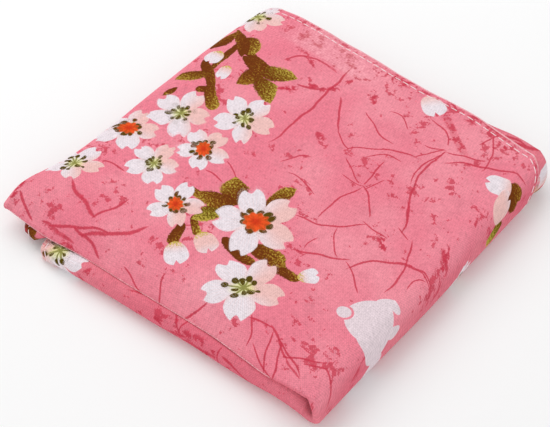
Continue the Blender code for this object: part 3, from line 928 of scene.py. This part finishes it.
# %% [markdown]
# ## The rabbit
# A white rabbit sits among the flowers near the fold, so only its back shows on top. It is made of a few
# ellipses in its own coordinates, ten millimetres to the unit.

# %% Place the rabbit
RABBIT = Frame(0.0562, -0.0868, math.radians(19), 0.0100)
RABBIT_RIM = 2.3         # it ends within this many of its units, ears and all


def rabbit_mark(row, shift):
    place = row._replace(x=row.x + shift[0], y=row.y + shift[1])
    return place, lambda p: np.hypot(p[..., 0], p[..., 1]) - RABBIT_RIM, 0, 0


lay("rabbit", repeated(rabbit_mark, [RABBIT]), layers=1, sway=0.00020)

# %% [markdown]
# ## The petals of a blossom
# In polar coordinates a five-petalled flower is one petal repeated. A float curve gives the petal's
# outline: notched in its middle, full at its shoulders and narrow between two petals. Petals differ a
# little in size, and one side of each flower is blushed with peach.

# %% Petals
WHITE, PEACH = paint(235, 224, 230), paint(238, 192, 187)
PETALS = 5
PETAL_OUTLINE = ((0.0, 0.87), (0.08, 0.89), (0.22, 1.01), (0.33, 0.98), (0.58, 0.87), (0.83, 0.72), (1.0, 0.53))


def petal_outline(off):
    """How far a petal reaches, from its middle (off is 0) to the gap beside it (off is 1)."""
    outline = off.tree.nodes.new("ShaderNodeFloatCurve")
    points = outline.mapping.curves[0].points
    while len(points) < len(PETAL_OUTLINE):
        points.new(0.5, 0.5)
    for point, place in zip(points, PETAL_OUTLINE):
        point.location = place
        point.handle_type = "VECTOR"
    outline.mapping.update()
    put(off, outline.inputs["Value"])
    return Value(outline.outputs["Value"])


def luck_of(seed, factor, number):
    """A random number of its own for each petal or stamen of each blossom."""
    return chance(seed.scaled(factor, number))


def petals(radius, angle, seed):
    """The mask and the colour of all petals."""
    turn = angle * (PETALS / (2 * math.pi))
    petal = turn.through("ROUND")
    off = abs(turn - petal) * 2.0
    reach = petal_outline(off) * luck_of(seed, 17.0, petal).scaled(0.12, 0.92)
    mask = fade(reach - radius, -0.012, 0.018)
    blush = fade(abs(turn - seed.scaled(1.6, -0.6)), 1.3, 0.3)
    between = fade(off, 0.70, 1.0) * 0.4
    streaks = fade((angle * 46.0).through("SINE"), 0.3, 1.0) * fade(radius, 0.95, 0.4)
    return mask, blend_colors(blush.at_least(between).at_least(streaks * 0.25), WHITE, PEACH)


print("petals:", PETALS, "with", len(PETAL_OUTLINE), "points on half an outline")

# %% [markdown]
# ## The heart of a blossom
# Ten stamens stand round the middle, each a thin stalk with a dark round tip, and each with its own turn,
# length and size by chance. Where the heart is orange it covers the stalks, so their tips stand round
# its rim.

# %% Stamens and heart
OLIVE, PALE_GREEN, ORANGE, RUST = paint(86, 70, 10), paint(226, 226, 150), paint(240, 88, 38), paint(112, 62, 14)
STALK, RED = paint(126, 124, 40), paint(204, 44, 24)
STAMENS = 10
STALK_WIDTH = 0.036


def stamens(radius, angle, orange, seed):
    """The masks of all stalks and of all tips, and the colour of the tips."""
    spoke = angle.scaled(STAMENS / (2 * math.pi), seed)
    stamen = spoke.through("ROUND")
    sway = luck_of(seed, 31.0, stamen).scaled(0.8, -0.4)
    aside = abs((spoke - stamen - sway) * (2 * math.pi / STAMENS)) * radius
    long = luck_of(seed, 53.0, stamen).scaled(0.26, 0.18)
    long = long.at_least(long.scaled(0.3, orange * 0.21))
    tip_size = orange.scaled(0.016, luck_of(seed, 71.0, stamen).scaled(0.060, 0.060))
    ahead, beside_tip = (radius - long) / tip_size, aside / tip_size
    tips = fade(ahead * ahead + beside_tip * beside_tip, 1.3, 0.7)
    stalks = fade(aside, STALK_WIDTH, 0.016) * fade(radius, long, long - 0.05)
    return stalks, tips, blend_colors(orange * luck_of(seed, 89.0, stamen), OLIVE, RUST)


def heart(color, radius, angle, orange, seed):
    """The petals' colour with the green glow, the stalks, the orange heart and the tips laid over it."""
    stalks, tips, tip_color = stamens(radius, angle, orange, seed)
    color = blend_colors(fade(radius, 0.38, 0.10) * 0.8, color, PALE_GREEN)
    color = blend_colors(stalks * 0.85, color, STALK)
    ragged = (angle * 9.0).through("SINE").scaled(0.03, radius)
    inside = fade(ragged, 0.32, 0.25) * orange
    warm = blend_colors(stalks * 0.25, ORANGE, RUST)
    warm = blend_colors(fade(radius, 0.20, 0.02) * 0.7, warm, RED)
    color = blend_colors(inside, color, warm)
    return blend_colors(tips * fade(inside, 1.4, 0.3), color, tip_color)


print("stamens:", STAMENS)

# %% [markdown]
# ## Group: one blossom
# The petals and the heart make one node group. It takes a point's coordinates on the blossom, whether the
# heart is orange and a seed for its chances, and puts out a mask and a colour.

# %% Blossom group
def blossom_group():
    tree, given, result = new_group("Blossom", [(name, "Float", 0.0) for name in ("X", "Y", "Orange", "Seed")],
                                    (("Mask", "Float"), ("Color", "Color")))
    x, y, orange, seed = given["X"], given["Y"], given["Orange"], given["Seed"]
    radius = (x * x + y * y).through("SQRT")
    angle = y.through("ARCTAN2", x)
    mask, color = petals(radius, angle, seed)
    put(mask, result["Mask"])
    put(heart(color, radius, angle, orange, seed), result["Color"])
    return tree


BLOSSOM_GROUP = blossom_group()
print("blossom group:", len(BLOSSOM_GROUP.nodes), "nodes")

# %% [markdown]
# ## Group: a long mark
# The half width falls off towards both ends. A power of 2 gives a leaf and a high power a blunt twig, and
# `Point` draws out the end ahead. The group puts out the mark's mask and how far to either side of its
# middle a point lies, which shades a leaf.

# %% Long mark group
def long_mark_group():
    numbers = (("X", 0.0), ("Y", 0.0), ("Width", 0.1), ("Bend", 0.0), ("Blunt", 2.0), ("Soft", 0.1), ("Point", 0.0))
    tree, given, result = new_group("Long mark", [(name, "Float", value) for name, value in numbers],
                                    (("Mask", "Float"), ("Side", "Float")))
    x, width = given["X"], given["Width"]
    inside = abs(x).through("MINIMUM", 1.0)
    sharp = x.at_least(0.0).scaled(given["Point"], 0.6)
    taper = (1.0 - inside ** given["Blunt"]) ** sharp
    off = given["Y"] - given["Bend"] * (1.0 - inside * inside)
    put(fade(width * taper - abs(off), 0.0, width * given["Soft"]), result["Mask"])
    put(off / width, result["Side"])
    return tree


LONG_GROUP = long_mark_group()
print("long mark group:", len(LONG_GROUP.nodes), "nodes")

# %% [markdown]
# ## The ground of the print
# The pink ground is mottled and a little dull in places, with broken stains and dust of a deeper rose.
# Each of these is a noise of its own size that a soft step turns into a mask. Where the painted shade is
# stored, on the sides and the layers below, the ground takes in more of the rose.

# %% Ground
GROUND, GROUND_LIGHT, ROSE = paint(236, 128, 146), paint(241, 147, 161), paint(202, 60, 80)
DUSTY = paint(217, 121, 137)
UNFADED_DEPTH = 0.31     # how far the painted shade takes the ground towards rose
STAIN_DEPTH = 0.78       # the same for stains and dust


def ground(cloth, unfaded, grain, crackle):
    color = blend_colors(fade(noise(cloth, 0.035, 2.0), 0.35, 0.68), GROUND, GROUND_LIGHT)
    color = blend_colors(fade(noise(cloth, 0.11, 4.0, 0.65), 0.52, 0.72) * 0.45, color, DUSTY)
    # painted shade: the sides and the lower layers go towards rose
    color = blend_colors(unfaded * UNFADED_DEPTH, color, ROSE)
    stain = fade(noise(cloth, 0.06, 1.0, 0.5).scaled(0.45, crackle), 0.830, 0.860)
    dust = fade(grain, 0.66, 0.72) * 0.6
    return blend_colors(stain.at_least(dust) * STAIN_DEPTH, color, ROSE)


print("ground: two pinks, a dusty one and rose")

# %% [markdown]
# ## Strands over the ground
# Each layer of marks is read back from its colour attribute: the local coordinates, and two more
# numbers. The edges of the strands are ragged by a fine noise, and the broad ones are broken up.

# %% Strands
STRAND_DEPTH = 0.88      # how far strands go towards rose
WHOLE, BROKEN = 0.10, 0.15      # strands up to the first width are whole, and from the second on they are broken


def layer(tree, name):
    """The four numbers of one layer of marks, as it was laid on the mesh."""
    node = tree.nodes.new("ShaderNodeAttribute")
    node.attribute_name = name
    split = tree.nodes.new("ShaderNodeSeparateColor")
    tree.links.new(node.outputs["Color"], split.inputs[0])
    return [Value(socket) for socket in (*split.outputs, node.outputs["Alpha"])]


def with_strands(color, grain, crackle):
    ragged = grain.scaled(1.5, 0.15)
    for k in range(STRAND_LAYERS):
        x, y, width, arch = layer(color.tree, f"strand_{k}")
        thick = width.scaled(1.10, 0.010) * ragged
        strand = place_group(color.tree, LONG_GROUP, X=x, Y=y, Width=thick, Bend=arch, Blunt=5.0, Soft=0.6)
        unbroken = fade(crackle, 0.49, 0.53).at_least(fade(width, BROKEN, WHOLE))
        color = blend_colors(strand["Mask"] * unbroken * STRAND_DEPTH, color, ROSE)
    return color


print("strands:", len(STRANDS), "in the repeat, on", STRAND_LAYERS, "layers")

# %% [markdown]
# ## Leaves, twigs and buds
# Leaves and twigs go from brown through olive to a light green, by where a point lies on them and by their
# tone, and a fine stipple breaks the colours up as in a stencil print. A bud is a notched petal that sits
# in a light green sepal.

# %% Leaves and buds
BROWN, LEAF_OLIVE = paint(112, 54, 16), paint(152, 104, 32)
LEAF_GREEN, LEAF_LIGHT = paint(116, 108, 24), paint(204, 178, 78)


def with_leaves(color, stipple):
    for name, blunt, point in (("twig_0", 5.0, 0.0), ("twig_1", 5.0, 0.0), ("leaf_0", 2.0, 0.7), ("leaf_1", 2.0, 0.7)):
        x, y, width, tone = layer(color.tree, name)
        uneven = width * stipple.scaled(0.8, 0.6)
        mark = place_group(color.tree, LONG_GROUP, X=x, Y=y, Width=uneven, Bend=0.0,
                           Blunt=blunt, Soft=0.12, Point=point)
        lit = tone.scaled(0.85, mark["Side"].scaled(0.30, x.scaled(0.45, -0.14))) + stipple.scaled(4.4, -2.2)
        leaf = blend_colors(fade(tone, 0.3, 0.9), LEAF_OLIVE, LEAF_GREEN)
        leaf = blend_colors(fade(lit, 0.05, 0.60), BROWN, leaf)
        leaf = blend_colors(fade(lit, 0.62, 1.05) * 0.85, leaf, LEAF_LIGHT)
        color = blend_colors(mark["Mask"], color, leaf)
    return color


def with_buds(color, stipple):
    for name in ("bud_0", "bud_1"):
        x, y, width, tone = layer(color.tree, name)
        fat = width * x.scaled(0.22, 1.0)
        mark = place_group(color.tree, LONG_GROUP, X=x, Y=y, Width=fat, Bend=0.0, Blunt=3.0, Soft=0.1)
        notch = abs(y) * 1.7 + (0.66 - x)
        petal = blend_colors(fade(abs(tone).scaled(-1.6, x), 0.1, -1.2), WHITE, PEACH)
        sepal = fade(stipple.scaled(2.0, x), 0.55, 0.05) * tone.through("GREATER_THAN", 0.0)
        color = blend_colors(mark["Mask"] * fade(notch, 0.0, 0.04), color, blend_colors(sepal, petal, LEAF_LIGHT))
    return color


print("leaves:", len(LEAVES), "twigs:", len(TWIGS), "buds:", len(BUDS), "in the repeat")

# %% [markdown]
# ## The shape of the rabbit
# Each ellipse gives a number that is above 0 inside it. A smooth maximum melts the body, the head, the
# ears and the legs together, and the round tail is set apart from the body by a thin gap.

# %% Rabbit shape
FUR = paint(230, 212, 218)
BODY = (0.10, 0.02, 0.98, 0.74, 8)
HEAD_EARS_LEGS = ((1.38, -0.10, 0.46, 0.42, 0), (1.55, -0.85, 0.15, 0.50, 20), (1.22, -0.85, 0.14, 0.46, -10),
                  (0.30, 0.82, 0.46, 0.13, 14), (0.93, 0.60, 0.13, 0.32, -28))
TAIL = (-0.90, -0.06, 0.22, 0.20)


def ellipse(x, y, cx, cy, rx, ry, degrees=0):
    """Above 0 inside an ellipse and below 0 outside it."""
    c, s = math.cos(math.radians(degrees)), math.sin(math.radians(degrees))
    x, y = x - cx, y - cy
    a, b = x.scaled(c / rx, y * (s / rx)), y.scaled(c / ry, x * (-s / ry))
    return 1.0 - (a * a + b * b)


def rabbit_mask(x, y):
    shape, tail = ellipse(x, y, *BODY), ellipse(x, y, *TAIL)
    for limb in HEAD_EARS_LEGS:
        shape = shape.through("SMOOTH_MAX", ellipse(x, y, *limb), 0.08)
    body = fade(shape, 0.0, 0.05) * (1.0 - fade(tail, -0.80, -0.62))
    return body.at_least(fade(tail, 0.0, 0.08))


print("rabbit:", 2 + len(HEAD_EARS_LEGS), "ellipses")

# %% [markdown]
# ## Group: the whole print
# The layers are painted in the printer's order: the ground and its strands, twigs and leaves, buds and
# the rabbit, and the blossoms on top. The group puts out the colour alone. Its `Strength` washes the
# print out for the reverse of the cloth, where the ink shows through more weakly.

# %% Print group
BACKING = paint(244, 176, 186)
MM = 1000.0


def print_group():
    tree, given, result = new_group("Furoshiki print", (("Cloth", "Vector", (0, 0, 0)), ("Strength", "Float", 1.0),
                                                         ("Unfaded", "Float", 0.0)), (("Color", "Color"),))
    cloth = stretched(given["Cloth"], MM, MM)
    grain, crackle = noise(cloth, 1.1, 3.0, 0.7), noise(cloth, 0.26, 5.0, 0.72)
    stipple = noise(cloth, 1.5, 2.0, 0.8)
    color = with_strands(ground(cloth, given["Unfaded"], grain, crackle), grain, crackle)
    color = with_buds(with_leaves(color, stipple), stipple)
    x, y, _, _ = layer(tree, "rabbit_0")
    color = blend_colors(rabbit_mask(x, y), color, FUR)
    x, y, orange, seed = layer(tree, "blossom_0")
    flower = place_group(tree, BLOSSOM_GROUP, X=x, Y=y, Orange=orange, Seed=seed)
    color = blend_colors(flower["Mask"], color, flower["Color"])
    put(blend_colors(given["Strength"], BACKING, color), result["Color"])
    return tree


PRINT_GROUP = print_group()
print("print group:", len(PRINT_GROUP.nodes), "nodes")

# %% [markdown]
# ## Group: plain weave
# Cotton for wrapping cloths is a plain weave of about 26 threads to the centimetre. The height is a
# checkerboard of small humps, with threads of uneven thickness in both directions.

# %% Weave group
THREAD_PITCH = 0.00038   # from one thread to the next
ALONG_THREAD, ACROSS_THREAD = 500.0, 2600.0     # how often, to the metre, a thread's thickness changes


def weave_group():
    tree, given, result = new_group("Plain weave", (("Cloth", "Vector", (0, 0, 0)), ("Pitch", "Float", THREAD_PITCH)),
                                    (("Height", "Float"), ("Shade", "Float")))
    split = tree.nodes.new("ShaderNodeSeparateXYZ")
    put(given["Cloth"], split.inputs[0])
    warp, weft = ((Value(split.outputs[axis]) * math.pi / given["Pitch"]).through("SINE") for axis in (0, 1))
    checks = (warp * weft).scaled(0.5, 0.5)
    slubs = (noise(stretched(given["Cloth"], ALONG_THREAD, ACROSS_THREAD), 1.0, 1.0)
             + noise(stretched(given["Cloth"], ACROSS_THREAD, ALONG_THREAD), 1.0, 1.0))
    put(slubs.scaled(0.6, checks), result["Height"])
    # Shade is a painted shade of the weave: darker between the humps and on thinner threads
    put(slubs.scaled(0.75, checks.scaled(0.40, -0.30)), result["Shade"])
    return tree


WEAVE_GROUP = weave_group()
print("weave group:", round(0.01 / THREAD_PITCH), "threads to the centimetre")

# %% [markdown]
# ## Group: worn and shaded cloth
# A cloth that is folded often is rubbed pale at its hems' edges and along its sharpest crease, and the band
# along the soft ridge gets a painted highlight. Outside their stitches the doubled hems get a painted shade of
# deeper rose, with small darker puckers of painted shade. The weave's painted shade darkens the colour between
# the threads' humps and on thinner threads, and the tops of the thickest threads are painted paler. Both faces
# of the cloth get all of this from one group.

# %% Worn and shaded cloth group
WORN = paint(252, 214, 218)
PUCKER_SIZE = 480.0      # puckers to the metre, about
INSIDE_STITCHES, INSIDE_EDGE = (2.3, 2.0), (0.2, 0.6)   # the painted hem shade fades in and out here, in mm from the edge


def handled_group():
    tree, given, result = new_group("Handled cloth", (
        ("Color", "Color", (1, 1, 1, 1)), ("Cloth", "Vector", (0, 0, 0)), ("Threads", "Float", 0.0),
        ("Wear", "Float", 0.0), ("Edge", "Float", FAR_INSIDE), ("Pucker", "Float", 0.3)), (("Color", "Color"),))
    threads, distance = given["Threads"], given["Edge"]
    # paler by wear, plus painted highlight on the ridge band and on the tops of the thickest threads
    rubbed = fade(threads.scaled(0.5, given["Wear"]), 0.45, 1.25) * 0.8
    color = blend_colors(rubbed, given["Color"], WORN)
    # painted shade on the doubled hem outside the stitches, with darker puckers of painted shade
    puckers = fade(noise(stretched(given["Cloth"], PUCKER_SIZE, PUCKER_SIZE), 1.0, 2.0, 0.6), 0.50, 0.62)
    hem_band = fade(distance, *INSIDE_STITCHES) * fade(distance, *INSIDE_EDGE)
    color = blend_colors(hem_band * puckers.scaled(given["Pucker"], 0.10), color, ROSE)
    # painted shade of the weave darkens the colour
    darker = tree.nodes.new("ShaderNodeHueSaturation")
    put(color, darker.inputs["Color"])
    put(threads.scaled(0.55, 0.60), darker.inputs["Value"])
    put(Value(darker.outputs[0]), result["Color"])
    return tree


HANDLED_GROUP = handled_group()
print("handled cloth group:", len(HANDLED_GROUP.nodes), "nodes")

# %% [markdown]
# ## Materials
# Printed cotton is quite matt, so there is hardly any shine on it. The face and the reverse share the
# three groups with different values. The thread of the stitches and the floor are plain.

# %% Cotton and thread
WEAVE_STRENGTH, WEAVE_HEIGHT = 0.5, 0.00006


def measured(tree, name):
    """A number that is stored on the mesh under a name."""
    node = tree.nodes.new("ShaderNodeAttribute")
    node.attribute_name = name
    return Value(node.outputs["Fac"])


def cotton(name, strength, pucker):
    material = bpy.data.materials.new(name)
    material.use_nodes = True
    tree = material.node_tree
    shader = tree.nodes["Principled BSDF"]
    flat_map = tree.nodes.new("ShaderNodeUVMap")
    flat_map.uv_map = "cloth"
    cloth = Value(flat_map.outputs[0])
    drawn = place_group(tree, PRINT_GROUP, Cloth=cloth, Strength=strength, Unfaded=measured(tree, "unfaded"))
    woven = place_group(tree, WEAVE_GROUP, Cloth=cloth)
    handled = place_group(tree, HANDLED_GROUP, Color=drawn["Color"], Cloth=cloth, Threads=woven["Shade"],
                          Wear=measured(tree, "wear"), Edge=measured(tree, "edge"), Pucker=pucker)
    put(handled["Color"], shader.inputs["Base Color"])
    bump = tree.nodes.new("ShaderNodeBump")
    bump.inputs["Strength"].default_value = WEAVE_STRENGTH
    bump.inputs["Distance"].default_value = WEAVE_HEIGHT
    put(woven["Height"], bump.inputs["Height"])
    put(Value(bump.outputs[0]), shader.inputs["Normal"])
    shader.inputs["Roughness"].default_value = 0.85
    shader.inputs["Specular IOR Level"].default_value = 0.05
    return material


def plain(name, color, roughness):
    material = bpy.data.materials.new(name)
    material.use_nodes = True
    shader = material.node_tree.nodes["Principled BSDF"]
    shader.inputs["Base Color"].default_value = color
    shader.inputs["Roughness"].default_value = roughness
    return material


thread_mesh.materials.append(plain("white_thread", paint(248, 226, 229), 0.6))
mesh.materials.append(cotton("printed_face", strength=1.0, pucker=0.65))
mesh.materials.append(cotton("printed_reverse", strength=0.45, pucker=0.20))
slots = np.zeros(len(mesh.polygons), np.int32)
slots[FACES:2 * FACES] = 1
mesh.polygons.foreach_set("material_index", slots)
print("materials:", [material.name for material in bpy.data.materials])

# %% [markdown]
# ## The camera
# The camera looks at the packet as the photograph does, from in front of its near corner and 49 degrees
# above the table. Its three axes are worked out first, and then it is set back along the first of them.

# %% Camera
AZIMUTH, ELEVATION = math.radians(39.7), math.radians(49.3)
DISTANCE, TARGET_HEIGHT = 0.35, 0.008
SIDEWAYS, UPWARDS = -0.0019, -0.0094
SENSOR = 36.0            # width of the sensor in millimetres
LENS_RATIO = 1087 / 550  # focal length over the width of the picture
back_axis = Vector((math.sin(AZIMUTH) * math.cos(ELEVATION), -math.cos(AZIMUTH) * math.cos(ELEVATION),
                    math.sin(ELEVATION)))
right_axis = Vector((math.cos(AZIMUTH), math.sin(AZIMUTH), 0))
up_axis = back_axis.cross(right_axis)
lens = bpy.data.cameras.new("camera")
lens.sensor_width = SENSOR
lens.lens = LENS_RATIO * SENSOR
camera = add_object("camera", lens)
place = Vector((-PLAN_MIDDLE[0], -PLAN_MIDDLE[1], TARGET_HEIGHT)) + back_axis * DISTANCE
place += right_axis * SIDEWAYS + up_axis * UPWARDS
camera.matrix_world = Matrix.Translation(place) @ Matrix((right_axis, up_axis, back_axis)).transposed().to_4x4()
bpy.context.scene.camera = camera
print("camera", round(1000 * DISTANCE), "mm away with a lens of", round(lens.lens), "mm")

# %% [markdown]
# ## Floor and light
# The photograph is a plain studio picture on white. A pale floor, a bright even sky, one large soft lamp
# above the back left corner and a weak one in front give its gentle shading.

# %% Floor and lights
FLOOR = 3.0              # half the floor's side
FLOOR_LEVEL = -0.0001    # just under the cloth, so that the two don't fight for the same place
SKY = 0.67               # strength of the even light from all around

corners = [(-FLOOR, -FLOOR, 0), (FLOOR, -FLOOR, 0), (FLOOR, FLOOR, 0), (-FLOOR, FLOOR, 0)]
floor_mesh = bpy.data.meshes.new("floor")
floor_mesh.from_pydata(corners, [], [(0, 1, 2, 3)])
floor_mesh.materials.append(plain("pale_floor", (0.93, 0.93, 0.93, 1), 0.9))
floor = add_object("floor", floor_mesh)
floor.location.z = FLOOR_LEVEL

world = bpy.data.worlds.new("studio")
bpy.context.scene.world = world
world.use_nodes = True
world.node_tree.nodes["Background"].inputs["Color"].default_value = (1, 1, 1, 1)
world.node_tree.nodes["Background"].inputs["Strength"].default_value = SKY


def soft_lamp(name, at, size, power):
    """A square lamp that looks at the middle of the packet."""
    light = bpy.data.lights.new(name, "AREA")
    light.size = size
    light.energy = power
    lamp = add_object(name, light)
    lamp.location = at
    lamp.rotation_euler = (-Vector(at)).to_track_quat("-Z", "Y").to_euler()


soft_lamp("main_lamp", at=(-0.46, 0.26, 0.66), size=0.8, power=3.7)
soft_lamp("front_lamp", at=(0.55, -0.70, 0.36), size=0.8, power=1.7)
bpy.context.scene.view_settings.view_transform = "Standard"
print(len(bpy.data.lights), "lamps and an even sky")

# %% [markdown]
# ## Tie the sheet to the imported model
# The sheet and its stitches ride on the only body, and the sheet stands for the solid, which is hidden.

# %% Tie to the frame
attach(furoshiki, "root")
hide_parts("furoshiki_cloth")
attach(hem_stitches, "root")
